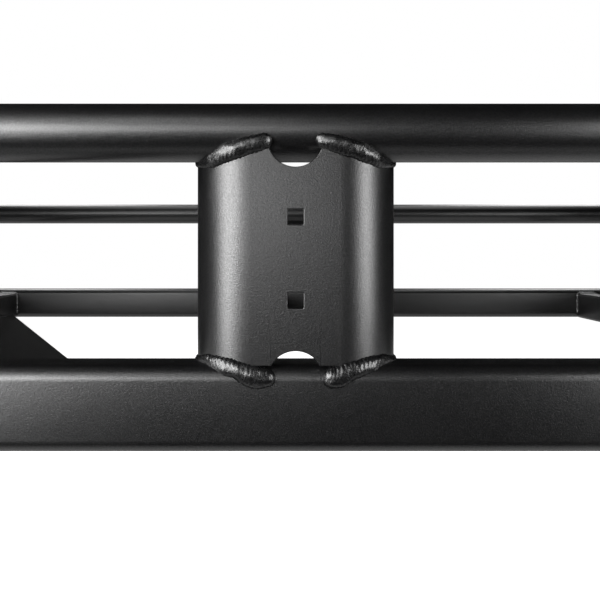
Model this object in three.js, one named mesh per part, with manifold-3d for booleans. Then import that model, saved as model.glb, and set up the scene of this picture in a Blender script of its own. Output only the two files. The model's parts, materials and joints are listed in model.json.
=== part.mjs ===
// Hitch-mounted folding luggage rack: a welded tube basket that folds up about a bolt at the vehicle end.
// Units are millimetres. The origin is on the shank's axis, at the hitch pin. +Y points to the vehicle, +Z up.

import * as THREE from 'three';
import { mergeVertices } from 'three/addons/utils/BufferGeometryUtils.js';
import Module from 'manifold-3d';

const wasm = await Module();
wasm.setup();

// ---- Driving dimensions ----

const GAP = 0.3;

const BASKET_WIDTH = 1216;
const BASKET_DEPTH = 620;
const CORNER_RADIUS = 84;
const CORNER_STEPS = 7;

const LOWER_TUBE = { depth: 30, height: 47, radius: 8, wall: 2 };
const UPPER_TUBE = { diameter: 32, wall: 2, centreHeight: 173.8 };
const ROUND_SIDES = 20;

const BRACKET = { halfWidth: 57.5, bend: 34, wall: 3, depth: 35, steps: 8 };
const BRACKET_TOP = 162.4;
const NOTCH = { radius: 14.5, upperHeight: 167.2, lowerHeight: 40.7 };
const BOLT_HOLE = { size: 8.5, upperHeight: 126.2, lowerHeight: 82 };

const FLOOR_BAR = { width: 30, height: 40, radius: 4, wall: 2, offset: 35 };
const OUTER_FLOOR_BAR = { width: 30, height: 40, radius: 4, wall: 2, offset: 483 };
const BRACE = { width: 60, thickness: 6, rearEdgeX: -62, slope: 0.702 };
const SPIGOT_LENGTH = 80;
const SPIGOT_WALL = 2;

const SHANK = { size: 50, radius: 6, wall: 4, rearEnd: -337, frontEnd: 60 };
const PLUG = { flange: 3, depth: 12, wall: 2.5 };

const PIVOT_Y = -307;
const LOCK_RADIUS = 60;
const LUG = { thickness: 8, inner: 26, headRadius: 77, tabLength: 160, tabDrop: 24 };
const LUG_RAIL_REACH = 40;
const FLOOR_ABOVE_AXIS = 27;

const PIVOT_BOLT = { radius: 8, hexFlats: 24, headHeight: 10, nutHeight: 15, tail: 4 };
const LOCK_BOLT = { radius: 6, hexFlats: 19, headHeight: 7.5, end: 54 };
const HOLE_CLEARANCE = 0.4;
const SLOT_CLEARANCE = 0.6;
const PIVOT_WASHER = { radius: 16, thickness: 3 };
const LOCK_WASHER = { radius: 17, thickness: 3 };
const PIVOT_SLEEVE_RADIUS = 12;
const LOCK_SLEEVE_RADIUS = 10;

const KNOB = { radius: 25, lobe: 2.6, lobes: 6, height: 24, edge: 3, wall: 5 };
const INSERT = { radius: 9.5, length: 15 };

const HITCH_PIN = { radius: 7.9, freeEnd: -50, bendStart: 46, bendRadius: 14, handle: 42 };
const PIN_CLIP = { wire: 1.7, x: -43, leg: 42, loopRadius: 9, lead: 13 };

const BASKET_ORIGIN = new THREE.Vector3(
  0,
  PIVOT_Y - LUG_RAIL_REACH - BASKET_DEPTH / 2,
  FLOOR_ABOVE_AXIS,
);

// ---- Materials ----

function finish(colour, roughness, metalness) {
  return new THREE.MeshStandardMaterial({ color: colour, roughness, metalness });
}

const powderCoat = () => finish(0x1b1b1d, 0.45, 0.1);
const zinc = () => finish(0xb9bcc0, 0.35, 0.9);
const spring = () => finish(0x9da1a6, 0.3, 0.95);
const blackPlastic = () => finish(0x151516, 0.6, 0);
const brass = () => finish(0xb08d4a, 0.35, 0.9);

// ---- Sections and outlines ----

function circlePoints(radius, sides) {
  const points = [];
  for (let i = 0; i < sides; i += 1) {
    const angle = (2 * Math.PI * i) / sides;
    points.push(new THREE.Vector2(radius * Math.cos(angle), radius * Math.sin(angle)));
  }
  return points;
}

function arcPoints(x, y, radius, from, to, steps) {
  const points = [];
  for (let i = 0; i <= steps; i += 1) {
    const angle = from + ((to - from) * i) / steps;
    points.push(new THREE.Vector2(x + radius * Math.cos(angle), y + radius * Math.sin(angle)));
  }
  return points;
}

function roundedRectPoints(width, height, radius, steps) {
  const x = width / 2 - radius;
  const y = height / 2 - radius;
  const quarter = Math.PI / 2;
  return [
    ...arcPoints(x, y, radius, 0, quarter, steps),
    ...arcPoints(-x, y, radius, quarter, 2 * quarter, steps),
    ...arcPoints(-x, -y, radius, 2 * quarter, 3 * quarter, steps),
    ...arcPoints(x, -y, radius, 3 * quarter, 4 * quarter, steps),
  ];
}

function shapeOf(outline, ...holes) {
  const shape = new THREE.Shape(outline);
  for (const hole of holes) {
    shape.holes.push(new THREE.Path(hole));
  }
  return shape;
}

function roundedTubeSection(width, height, radius, wall, steps) {
  const outer = roundedRectPoints(width, height, radius, steps);
  const inner = roundedRectPoints(width - 2 * wall, height - 2 * wall, radius - wall, 2);
  return shapeOf(outer, inner);
}

function roundTubeSection(radius, wall, sides) {
  return shapeOf(circlePoints(radius, sides), circlePoints(radius - wall, sides));
}

// ---- Solids ----

function extrude(shape, depth) {
  return new THREE.ExtrudeGeometry(shape, { depth, bevelEnabled: false });
}

// Turns a geometry drawn in XY and extruded along Z so that it is drawn in YZ and extruded along X.
function alongX(geometry) {
  const x = new THREE.Vector3(1, 0, 0);
  const y = new THREE.Vector3(0, 1, 0);
  const z = new THREE.Vector3(0, 0, 1);
  return geometry.applyMatrix4(new THREE.Matrix4().makeBasis(y, z, x));
}

// Turns a geometry drawn in XY and extruded along Z so that it is drawn in ZX and extruded along Y.
function alongY(geometry) {
  const x = new THREE.Vector3(1, 0, 0);
  const y = new THREE.Vector3(0, 1, 0);
  const z = new THREE.Vector3(0, 0, 1);
  return geometry.applyMatrix4(new THREE.Matrix4().makeBasis(z, x, y));
}

function cylinderAlongX(radius, from, to, sides = 24) {
  return alongX(extrude(shapeOf(circlePoints(radius, sides)), to - from)).translate(from, 0, 0);
}

function ringAlongX(outer, inner, from, to, sides = 24) {
  const section = shapeOf(circlePoints(outer, sides), circlePoints(inner, sides));
  return alongX(extrude(section, to - from)).translate(from, 0, 0);
}

function hexAlongX(flats, from, to) {
  return cylinderAlongX(flats / Math.sqrt(3), from, to, 6);
}

function toSolid(geometry) {
  const bare = geometry.clone();
  bare.deleteAttribute('normal');
  bare.deleteAttribute('uv');
  const merged = mergeVertices(bare, 1e-4);
  const vertProperties = new Float32Array(merged.attributes.position.array);
  const triVerts = new Uint32Array(merged.index.array);
  return new wasm.Manifold(new wasm.Mesh({ numProp: 3, vertProperties, triVerts }));
}

function toGeometry(solid) {
  const mesh = solid.getMesh();
  const geometry = new THREE.BufferGeometry();
  geometry.setAttribute('position', new THREE.BufferAttribute(mesh.vertProperties, 3));
  geometry.setIndex(new THREE.BufferAttribute(mesh.triVerts, 1));
  geometry.computeVertexNormals();
  return geometry;
}

function cut(geometry, ...tools) {
  return toGeometry(tools.reduce((solid, tool) => solid.subtract(toSolid(tool)), toSolid(geometry)));
}

function join(geometry, ...others) {
  return toGeometry(others.reduce((solid, other) => solid.add(toSolid(other)), toSolid(geometry)));
}

function common(geometry, other) {
  return toGeometry(toSolid(geometry).intersect(toSolid(other)));
}

// ---- Paths ----

// A path given by its own stations, which an extrusion follows with the section's y axis always up.
class StationPath extends THREE.Curve {
  constructor(points, tangents, up) {
    super();
    this.points = points;
    this.tangents = tangents;
    this.up = up;
  }

  getPoint(t) {
    const position = t * (this.points.length - 1);
    const index = Math.min(Math.floor(position), this.points.length - 2);
    return this.points[index].clone().lerp(this.points[index + 1], position - index);
  }

  getSpacedPoints() {
    return this.points;
  }

  computeFrenetFrames() {
    const binormals = this.tangents.map(() => this.up.clone());
    const normals = this.tangents.map((tangent) => this.up.clone().cross(tangent).normalize());
    return { tangents: this.tangents, normals, binormals };
  }
}

function sweep(section, path) {
  const steps = path.points.length - 1;
  return new THREE.ExtrudeGeometry(section, { steps, extrudePath: path, bevelEnabled: false });
}

// Half of the basket's rail in plan: down the left side, round two corners and up the right side.
function halfLoop(inset) {
  const halfWidth = BASKET_WIDTH / 2 - inset;
  const halfDepth = BASKET_DEPTH / 2 - inset;
  const radius = CORNER_RADIUS - inset;
  const up = new THREE.Vector3(0, 0, 1);
  const points = [new THREE.Vector3(-halfWidth, -GAP / 2, 0)];
  const tangents = [new THREE.Vector3(0, -1, 0)];
  for (const side of [-1, 1]) {
    const start = side < 0 ? Math.PI : 1.5 * Math.PI;
    for (let i = 0; i <= CORNER_STEPS; i += 1) {
      const angle = start + ((Math.PI / 2) * i) / CORNER_STEPS;
      const x = side * (halfWidth - radius) + radius * Math.cos(angle);
      const y = radius - halfDepth + radius * Math.sin(angle);
      points.push(new THREE.Vector3(x, y, 0));
      tangents.push(new THREE.Vector3(-Math.sin(angle), Math.cos(angle), 0));
    }
  }
  points.push(new THREE.Vector3(halfWidth, -GAP / 2, 0));
  tangents.push(new THREE.Vector3(0, 1, 0));
  return new StationPath(points, tangents, up);
}

// ---- Basket pieces ----

function lowerRail() {
  const { depth, height, radius, wall } = LOWER_TUBE;
  const section = roundedTubeSection(depth, height, radius, wall, 4);
  return sweep(section, halfLoop(depth / 2)).translate(0, 0, height / 2);
}

function upperRail() {
  const radius = UPPER_TUBE.diameter / 2;
  const section = roundTubeSection(radius, UPPER_TUBE.wall, ROUND_SIDES);
  return sweep(section, halfLoop(radius)).translate(0, 0, UPPER_TUBE.centreHeight);
}

// The short tube inside a rail that lines up its two halves.
function lowerSpigot() {
  const { depth, height, radius, wall } = LOWER_TUBE;
  const shrink = 2 * (wall + GAP);
  const corner = radius - wall - GAP;
  const section = roundedTubeSection(height - shrink, depth - shrink, corner, SPIGOT_WALL, 2);
  return alongY(extrude(section, SPIGOT_LENGTH)).translate(0, -SPIGOT_LENGTH / 2, height / 2);
}

function upperSpigot() {
  const radius = UPPER_TUBE.diameter / 2 - UPPER_TUBE.wall - GAP;
  const section = roundTubeSection(radius, SPIGOT_WALL, ROUND_SIDES);
  const tube = alongY(extrude(section, SPIGOT_LENGTH));
  return tube.translate(0, -SPIGOT_LENGTH / 2, UPPER_TUBE.centreHeight);
}

function bracketPlan() {
  const { halfWidth, bend, wall, depth, steps } = BRACKET;
  const centre = halfWidth - bend;
  const quarter = Math.PI / 2;
  return [
    new THREE.Vector2(-halfWidth, depth),
    ...arcPoints(-centre, bend, bend, 2 * quarter, 3 * quarter, steps),
    ...arcPoints(centre, bend, bend, 3 * quarter, 4 * quarter, steps),
    new THREE.Vector2(halfWidth, depth),
    new THREE.Vector2(halfWidth - wall, depth),
    ...arcPoints(centre, bend, bend - wall, 4 * quarter, 3 * quarter, steps),
    ...arcPoints(-centre, bend, bend - wall, 3 * quarter, 2 * quarter, steps),
    new THREE.Vector2(wall - halfWidth, depth),
  ];
}

function squareHole(height) {
  const { size } = BOLT_HOLE;
  return new THREE.BoxGeometry(size, 4 * BRACKET.wall, size).translate(0, 0, height);
}

function notch(height) {
  const drill = alongY(extrude(shapeOf(circlePoints(NOTCH.radius, 32)), 6 * BRACKET.wall));
  return drill.translate(0, -3 * BRACKET.wall, height);
}

// The bent plate between the rails, drawn with its flat front at y = 0 and its legs running back.
function bracket(notched) {
  const bottom = LOWER_TUBE.height + GAP;
  const tubeRadius = UPPER_TUBE.diameter / 2;
  const plate = extrude(shapeOf(bracketPlan()), BRACKET_TOP - bottom).translate(0, 0, bottom);
  const span = 2 * BRACKET.halfWidth + 4;
  const tube = cylinderAlongX(tubeRadius + GAP, -span / 2, span / 2, 40);
  tube.translate(0, tubeRadius, UPPER_TUBE.centreHeight);
  const behind = new THREE.BoxGeometry(span, 2 * tubeRadius, 2 * tubeRadius);
  behind.translate(0, 2 * tubeRadius, UPPER_TUBE.centreHeight - GAP);
  const holes = [squareHole(BOLT_HOLE.upperHeight), squareHole(BOLT_HOLE.lowerHeight)];
  const notches = notched ? [notch(NOTCH.upperHeight), notch(NOTCH.lowerHeight)] : [];
  return cut(plate, tube, behind, ...holes, ...notches);
}

function floorBar({ width, height, radius, wall }) {
  const length = BASKET_DEPTH - 2 * LOWER_TUBE.depth - 2 * GAP;
  const tube = alongY(extrude(roundedTubeSection(height, width, radius, wall, 3), length));
  return tube.translate(0, -length / 2, height / 2);
}

// The flat bar that squares the frame, from the front of the left outer floor bar to the rear rail.
function diagonalBrace() {
  const { width, thickness, rearEdgeX, slope } = BRACE;
  const halfDepth = BASKET_DEPTH / 2;
  const skew = width * Math.hypot(1, slope);
  const reach = 2 * halfDepth * slope;
  const bar = extrude(
    shapeOf([
      new THREE.Vector2(rearEdgeX - skew, -halfDepth),
      new THREE.Vector2(rearEdgeX, -halfDepth),
      new THREE.Vector2(rearEdgeX - reach, halfDepth),
      new THREE.Vector2(rearEdgeX - reach - skew, halfDepth),
    ]),
    thickness,
  );
  const sideFace = OUTER_FLOOR_BAR.offset - OUTER_FLOOR_BAR.width / 2 - GAP;
  const railFace = halfDepth - LOWER_TUBE.depth - GAP;
  const inside = new THREE.BoxGeometry(2 * sideFace, 2 * railFace, 4 * thickness);
  return common(bar, inside);
}

// ---- Hinge pieces ----

function slotOutline() {
  const half = LOCK_BOLT.radius + SLOT_CLEARANCE;
  const quarter = Math.PI / 2;
  return [
    ...arcPoints(0, 0, LOCK_RADIUS + half, 0, quarter, 16),
    ...arcPoints(0, LOCK_RADIUS, half, quarter, 3 * quarter, 8).slice(1, -1),
    ...arcPoints(0, 0, LOCK_RADIUS - half, quarter, 0, 16),
    ...arcPoints(LOCK_RADIUS, 0, half, -2 * quarter, 0, 8).slice(1, -1),
  ];
}

// One side plate of the hinge, drawn about the pivot: a tab under the basket and a slotted round head.
function hingeLug() {
  const { headRadius, tabLength, tabDrop, thickness } = LUG;
  const railFace = GAP - LUG_RAIL_REACH;
  const tabTop = FLOOR_ABOVE_AXIS - GAP;
  const headStart = Math.acos(railFace / headRadius);
  const headEnd = -0.28;
  const outline = [
    new THREE.Vector2(railFace, tabTop),
    new THREE.Vector2(railFace - tabLength, tabTop),
    new THREE.Vector2(railFace - tabLength, tabTop - tabDrop / 2),
    new THREE.Vector2(railFace, -tabDrop),
    ...arcPoints(0, 0, PIVOT_BOLT.radius + 20, -0.7 * Math.PI, -0.4 * Math.PI, 4),
    ...arcPoints(0, 0, headRadius, headEnd, headStart, 20),
  ];
  const pivotHole = circlePoints(PIVOT_BOLT.radius + HOLE_CLEARANCE, 24);
  return alongX(extrude(shapeOf(outline, pivotHole, slotOutline()), thickness));
}

function hexBolt(bolt, headFace, end) {
  const head = hexAlongX(bolt.hexFlats, headFace - bolt.headHeight, headFace);
  return join(head, cylinderAlongX(bolt.radius, headFace - 1, end));
}

function hexNut(bolt, face) {
  const body = hexAlongX(bolt.hexFlats, face, face + bolt.nutHeight);
  const bore = cylinderAlongX(bolt.radius + GAP, face - 1, face + bolt.nutHeight + 1);
  return cut(body, bore);
}

// ---- Shank pieces ----

function shank() {
  const { size, radius, wall, rearEnd, frontEnd } = SHANK;
  const tube = alongY(extrude(roundedTubeSection(size, size, radius, wall, 4), frontEnd - rearEnd));
  tube.translate(0, rearEnd, 0);
  const holes = [
    [PIVOT_Y, PIVOT_BOLT.radius],
    [PIVOT_Y + LOCK_RADIUS, LOCK_BOLT.radius],
    [0, HITCH_PIN.radius],
  ];
  const drills = holes.map(([y, boltRadius]) =>
    cylinderAlongX(boltRadius + HOLE_CLEARANCE, -size, size).translate(0, y, 0),
  );
  return cut(tube, ...drills);
}

// The plastic plug in the shank's rear end: a flange and a hollow stem.
function shankPlug() {
  const { size, radius, wall, rearEnd } = SHANK;
  const stem = size - 2 * wall - 2 * GAP;
  const flange = alongY(extrude(shapeOf(roundedRectPoints(size, size, radius, 4)), PLUG.flange));
  const wallSection = roundedTubeSection(stem, stem, radius - wall, PLUG.wall / 2, 2);
  const hollow = alongY(extrude(wallSection, PLUG.depth)).translate(0, PLUG.flange - 0.5, 0);
  return join(flange, hollow).translate(0, rearEnd - PLUG.flange - GAP, 0);
}

function sleeve(outer, boltRadius) {
  const half = SHANK.size / 2 - SHANK.wall - GAP;
  return ringAlongX(outer, boltRadius + HOLE_CLEARANCE, -half, half);
}

function knobOutline() {
  const points = [];
  const count = 60;
  for (let i = 0; i < count; i += 1) {
    const angle = (2 * Math.PI * i) / count;
    const radius = KNOB.radius + KNOB.lobe * Math.cos(KNOB.lobes * angle);
    points.push(new THREE.Vector2(radius * Math.cos(angle), radius * Math.sin(angle)));
  }
  return points;
}

// The lobed locking knob, drawn with its seat at x = 0 and a blind bore for the brass insert.
function lockKnob() {
  const body = new THREE.ExtrudeGeometry(shapeOf(knobOutline()), {
    depth: KNOB.height - 2 * KNOB.edge,
    bevelEnabled: true,
    bevelThickness: KNOB.edge,
    bevelSize: KNOB.edge,
    bevelSegments: 2,
  });
  alongX(body).translate(KNOB.edge, 0, 0);
  const bore = cylinderAlongX(INSERT.radius + GAP, -1, KNOB.height - KNOB.wall);
  return cut(body, bore);
}

function knobInsert() {
  return ringAlongX(INSERT.radius, LOCK_BOLT.radius + HOLE_CLEARANCE, 0, INSERT.length);
}

// The bent hitch pin: straight through the shank, then a quarter bend down to its handle.
function hitchPin() {
  const { radius, freeEnd, bendStart, bendRadius, handle } = HITCH_PIN;
  const points = [new THREE.Vector3(freeEnd, 0, 0)];
  const tangents = [new THREE.Vector3(1, 0, 0)];
  const steps = 6;
  for (let i = 0; i <= steps; i += 1) {
    const angle = ((Math.PI / 2) * i) / steps;
    const x = bendStart + bendRadius * Math.sin(angle);
    const z = bendRadius * Math.cos(angle) - bendRadius;
    points.push(new THREE.Vector3(x, 0, z));
    tangents.push(new THREE.Vector3(Math.cos(angle), 0, -Math.sin(angle)));
  }
  points.push(new THREE.Vector3(bendStart + bendRadius, 0, -bendRadius - handle));
  tangents.push(new THREE.Vector3(0, 0, -1));
  const path = new StationPath(points, tangents, new THREE.Vector3(0, 1, 0));
  const rod = sweep(shapeOf(circlePoints(radius, 20)), path);
  const clipHole = extrude(shapeOf(circlePoints(PIN_CLIP.wire + GAP, 12)), 4 * radius);
  return cut(rod, clipHole.translate(PIN_CLIP.x, 0, -2 * radius));
}

// The spring clip: one leg through the pin, a loop above it, and one leg bowed round the pin.
function pinClip() {
  const { wire, leg, loopRadius, lead } = PIN_CLIP;
  const bow = HITCH_PIN.radius + wire + GAP + 0.4;
  const up = new THREE.Vector3(1, 0, 0);
  const outline = [];
  outline.push([0, -lead, 0, 1]);
  outline.push([0, leg - lead, 0, 1]);
  const turns = 10;
  const spread = bow / loopRadius;
  const tilt = Math.asin(Math.min(spread - 1, 1));
  for (let i = 1; i <= turns; i += 1) {
    const angle = ((Math.PI + tilt) * i) / turns;
    const y = loopRadius * (1 - Math.cos(angle));
    const z = leg - lead + loopRadius * Math.sin(angle);
    outline.push([y, z, Math.sin(angle), Math.cos(angle)]);
  }
  const last = outline[outline.length - 1];
  const hug = 6;
  for (let i = 0; i <= hug; i += 1) {
    const angle = Math.PI / 4 - ((Math.PI / 2) * i) / hug;
    outline.push([bow * Math.cos(angle), bow * Math.sin(angle), Math.sin(angle), -Math.cos(angle)]);
  }
  const tail = outline[outline.length - 1];
  outline.push([tail[0] + lead / 3, tail[1] - lead / 2, Math.SQRT1_2, -Math.SQRT1_2]);
  const joined = outline.filter((station) => station !== last);
  const points = joined.map(([y, z]) => new THREE.Vector3(0, y, z));
  const tangents = joined.map(([, , y, z]) => new THREE.Vector3(0, y, z).normalize());
  return sweep(shapeOf(circlePoints(wire, 8)), new StationPath(points, tangents, up));
}

// ---- Assembly ----

const rack = new THREE.Group();
const basket = new THREE.Group();
basket.position.copy(BASKET_ORIGIN);
rack.add(basket);

function add(group, name, geometry, material, position = [0, 0, 0], turn = 0) {
  const mesh = new THREE.Mesh(geometry, material);
  mesh.name = name;
  mesh.position.set(...position);
  mesh.rotation.z = turn;
  group.add(mesh);
}

const halfWidth = BASKET_WIDTH / 2;
const halfDepth = BASKET_DEPTH / 2;

add(basket, 'lower_rail_rear', lowerRail(), powderCoat());
add(basket, 'lower_rail_front', lowerRail(), powderCoat(), [0, 0, 0], Math.PI);
add(basket, 'upper_rail_rear', upperRail(), powderCoat());
add(basket, 'upper_rail_front', upperRail(), powderCoat(), [0, 0, 0], Math.PI);

add(basket, 'bracket_rear', bracket(true), powderCoat(), [0, -halfDepth, 0]);
add(basket, 'bracket_front', bracket(false), powderCoat(), [0, halfDepth, 0], Math.PI);
add(basket, 'bracket_left', bracket(true), powderCoat(), [-halfWidth, 0, 0], -Math.PI / 2);
add(basket, 'bracket_right', bracket(true), powderCoat(), [halfWidth, 0, 0], Math.PI / 2);

for (const [side, sign] of [['left', -1], ['right', 1]]) {
  const lowerX = sign * (halfWidth - LOWER_TUBE.depth / 2);
  const upperX = sign * (halfWidth - UPPER_TUBE.diameter / 2);
  add(basket, `lower_spigot_${side}`, lowerSpigot(), zinc(), [lowerX, 0, 0]);
  add(basket, `upper_spigot_${side}`, upperSpigot(), zinc(), [upperX, 0, 0]);
  const innerX = sign * FLOOR_BAR.offset;
  const outerX = sign * OUTER_FLOOR_BAR.offset;
  add(basket, `floor_bar_${side}`, floorBar(FLOOR_BAR), powderCoat(), [innerX, 0, 0]);
  add(basket, `floor_bar_outer_${side}`, floorBar(OUTER_FLOOR_BAR), powderCoat(), [outerX, 0, 0]);
  const lugX = sign > 0 ? LUG.inner : -LUG.inner - LUG.thickness;
  add(rack, `hinge_lug_${side}`, hingeLug(), powderCoat(), [lugX, PIVOT_Y, 0]);
}

add(basket, 'diagonal_brace', diagonalBrace(), powderCoat());

add(rack, 'shank', shank(), powderCoat());
add(rack, 'shank_plug', shankPlug(), blackPlastic());

const lugFace = LUG.inner + LUG.thickness + GAP;
const lockY = PIVOT_Y + LOCK_RADIUS;

function washer(spec, boltRadius, face) {
  return ringAlongX(spec.radius, boltRadius + HOLE_CLEARANCE, face, face + spec.thickness);
}

const pivotStack = lugFace + PIVOT_WASHER.thickness + GAP;
const pivotBoltEnd = pivotStack + PIVOT_BOLT.nutHeight + PIVOT_BOLT.tail;
const leftPivotWasher = -lugFace - PIVOT_WASHER.thickness;
const pivotAt = [0, PIVOT_Y, 0];
add(rack, 'pivot_bolt', hexBolt(PIVOT_BOLT, -pivotStack, pivotBoltEnd), zinc(), pivotAt);
add(rack, 'pivot_nut', hexNut(PIVOT_BOLT, pivotStack), zinc(), pivotAt);
add(rack, 'pivot_washer_left', washer(PIVOT_WASHER, PIVOT_BOLT.radius, leftPivotWasher), zinc(), pivotAt);
add(rack, 'pivot_washer_right', washer(PIVOT_WASHER, PIVOT_BOLT.radius, lugFace), zinc(), pivotAt);
add(rack, 'pivot_sleeve', sleeve(PIVOT_SLEEVE_RADIUS, PIVOT_BOLT.radius), zinc(), pivotAt);

const lockStack = lugFace + LOCK_WASHER.thickness + GAP;
const leftLockWasher = -lugFace - LOCK_WASHER.thickness;
const lockAt = [0, lockY, 0];
add(rack, 'lock_bolt', hexBolt(LOCK_BOLT, -lockStack, LOCK_BOLT.end), zinc(), lockAt);
add(rack, 'lock_washer_left', washer(LOCK_WASHER, LOCK_BOLT.radius, leftLockWasher), zinc(), lockAt);
add(rack, 'lock_washer_right', washer(LOCK_WASHER, LOCK_BOLT.radius, lugFace), zinc(), lockAt);
add(rack, 'lock_sleeve', sleeve(LOCK_SLEEVE_RADIUS, LOCK_BOLT.radius), zinc(), lockAt);
add(rack, 'lock_knob', lockKnob(), blackPlastic(), [lockStack, lockY, 0]);
add(rack, 'knob_insert', knobInsert(), brass(), [lockStack, lockY, 0]);

add(rack, 'hitch_pin', hitchPin(), zinc());
add(rack, 'pin_clip', pinClip(), spring(), [PIN_CLIP.x, 0, 0]);

export default rack;
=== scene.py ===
"""The looks of the hitch-mounted folding luggage rack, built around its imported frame.

Lengths are in metres. The basket's rear side, with its bracket in the middle, faces the camera.
"""

import json
import math
import random

import bmesh
import bpy
import numpy as np
from mathutils import Matrix, Vector, noise


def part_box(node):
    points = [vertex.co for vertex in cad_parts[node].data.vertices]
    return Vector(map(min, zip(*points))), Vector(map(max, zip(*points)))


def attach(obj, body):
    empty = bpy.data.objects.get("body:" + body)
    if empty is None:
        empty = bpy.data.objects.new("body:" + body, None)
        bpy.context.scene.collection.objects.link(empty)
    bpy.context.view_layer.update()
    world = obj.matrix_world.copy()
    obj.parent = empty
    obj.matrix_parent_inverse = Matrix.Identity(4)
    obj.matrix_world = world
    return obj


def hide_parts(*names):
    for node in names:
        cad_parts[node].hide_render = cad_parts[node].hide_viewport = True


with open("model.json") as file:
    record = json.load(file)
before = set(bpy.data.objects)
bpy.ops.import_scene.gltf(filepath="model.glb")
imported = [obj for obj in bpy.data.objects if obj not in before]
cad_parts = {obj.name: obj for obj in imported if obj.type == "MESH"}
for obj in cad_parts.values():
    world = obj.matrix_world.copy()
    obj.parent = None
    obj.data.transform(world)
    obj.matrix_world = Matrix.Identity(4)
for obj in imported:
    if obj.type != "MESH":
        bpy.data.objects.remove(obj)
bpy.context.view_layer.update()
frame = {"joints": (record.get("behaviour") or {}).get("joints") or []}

MM = 0.001
UP = Vector((0, 0, 1))

# ---- Places, read from the frame ----


def span(node):
    low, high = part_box(node)
    return low, high, (low + high) / 2


LOWER_LOW, LOWER_HIGH, _ = span("lower_rail_rear")
UPPER_LOW, UPPER_HIGH, _ = span("upper_rail_rear")
FRONT_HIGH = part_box("lower_rail_front")[1]
BRACKET_LOW, BRACKET_HIGH, _ = span("bracket_rear")
BAR_LOW, BAR_HIGH, _ = span("floor_bar_right")
BRACE_LOW, BRACE_HIGH, _ = span("diagonal_brace")

REAR_Y = LOWER_LOW.y
FRONT_Y = FRONT_HIGH.y
MID_Y = (REAR_Y + FRONT_Y) / 2
HALF_WIDTH = LOWER_HIGH.x
HALF_DEPTH = (FRONT_Y - REAR_Y) / 2
FLOOR_Z = LOWER_LOW.z
LOWER_TOP = LOWER_HIGH.z
TUBE_R = (UPPER_HIGH.z - UPPER_LOW.z) / 2
TUBE_Z = (UPPER_HIGH.z + UPPER_LOW.z) / 2
BAR_SIZE = BAR_HIGH.z - BAR_LOW.z
BAR_X = (BAR_LOW.x + BAR_HIGH.x) / 2

# The sizes that a box can't tell, the same as in the part's own source.
CORNER_R = 84 * MM
LOWER_DEPTH = 30 * MM
LOWER_CORNER = 8 * MM
UPPER_WALL = 2 * MM
LOWER_WALL = 2 * MM
PLATE = 3 * MM
BEND_R = 34 * MM
NOTCH_R = 14.5 * MM
BRACE_WIDTH = 60 * MM
BRACE_SLOPE = 0.702
SEAM_GAP = 0.3 * MM

BASKET = "basket"
SHANK = "shank"
KNOB = "knob"

# ---- Materials ----


class Nodes:
    """A material's node tree, with short calls for adding and linking nodes."""

    def __init__(self, name):
        self.material = bpy.data.materials.new(name)
        self.material.use_nodes = True
        self.tree = self.material.node_tree
        self.shader = self.tree.nodes["Principled BSDF"]
        coordinates = self.tree.nodes.new("ShaderNodeTexCoord")
        self.place = coordinates.outputs["Object"]

    def noise(self, scale, detail=3.0, roughness=0.5):
        node = self.tree.nodes.new("ShaderNodeTexNoise")
        node.inputs["Scale"].default_value = scale
        node.inputs["Detail"].default_value = detail
        node.inputs["Roughness"].default_value = roughness
        self.tree.links.new(self.place, node.inputs["Vector"])
        return node.outputs["Fac"]

    def ramp(self, source, stops):
        node = self.tree.nodes.new("ShaderNodeValToRGB")
        ramp = node.color_ramp
        while len(ramp.elements) < len(stops):
            ramp.elements.new(0.5)
        for element, (position, colour) in zip(ramp.elements, stops):
            element.position = position
            element.color = (*colour, 1.0)
        self.tree.links.new(source, node.inputs["Fac"])
        return node.outputs["Color"]

    def spread(self, source, low, high, start=0.0, end=1.0):
        node = self.tree.nodes.new("ShaderNodeMapRange")
        node.inputs["From Min"].default_value = start
        node.inputs["From Max"].default_value = end
        node.inputs["To Min"].default_value = low
        node.inputs["To Max"].default_value = high
        self.tree.links.new(source, node.inputs["Value"])
        return node.outputs["Result"]

    def bump(self, height, strength, distance, under=None):
        node = self.tree.nodes.new("ShaderNodeBump")
        node.inputs["Strength"].default_value = strength
        node.inputs["Distance"].default_value = distance
        self.tree.links.new(height, node.inputs["Height"])
        if under is not None:
            self.tree.links.new(under, node.inputs["Normal"])
        return node.outputs["Normal"]

    def set(self, socket, source):
        self.tree.links.new(source, self.shader.inputs[socket])

    def value(self, socket, value):
        self.shader.inputs[socket].default_value = value


def powder_coat(name, grain=1.0, roughness=(0.29, 0.36)):
    """Satin black powder coat: near black, with a fine pebbled grain that breaks up its highlights."""
    m = Nodes(name)
    tint = m.noise(35.0, 4.0)
    m.set("Base Color", m.ramp(tint, [(0.3, (0.0022, 0.0022, 0.0025)), (0.7, (0.0036, 0.0036, 0.0038))]))
    m.set("Roughness", m.spread(m.noise(900.0, 2.0), *roughness, 0.3, 0.7))
    pebbles = m.noise(1500.0, 2.0, 0.6)
    flow = m.noise(160.0, 2.0, 0.4)
    m.set("Normal", m.bump(pebbles, 0.5 * grain, 0.2 * MM, m.bump(flow, 0.2, 0.15 * MM)))
    m.set("Specular IOR Level", m.spread(m.noise(1000.0, 2.0, 0.6), 1.0 - 0.14 * grain, 1.0 + 0.14 * grain, 0.35, 0.65))
    return m.material


def zinc_plate(name):
    """Bright zinc plating on turned or pressed steel, slightly clouded."""
    m = Nodes(name)
    cloud = m.noise(240.0, 4.0, 0.6)
    m.set("Base Color", m.ramp(cloud, [(0.35, (0.50, 0.51, 0.53)), (0.65, (0.63, 0.63, 0.62))]))
    m.set("Roughness", m.spread(m.noise(600.0, 3.0), 0.26, 0.42, 0.3, 0.7))
    m.set("Normal", m.bump(m.noise(1800.0, 2.0), 0.12, 0.05 * MM))
    m.value("Metallic", 1.0)
    return m.material


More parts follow.
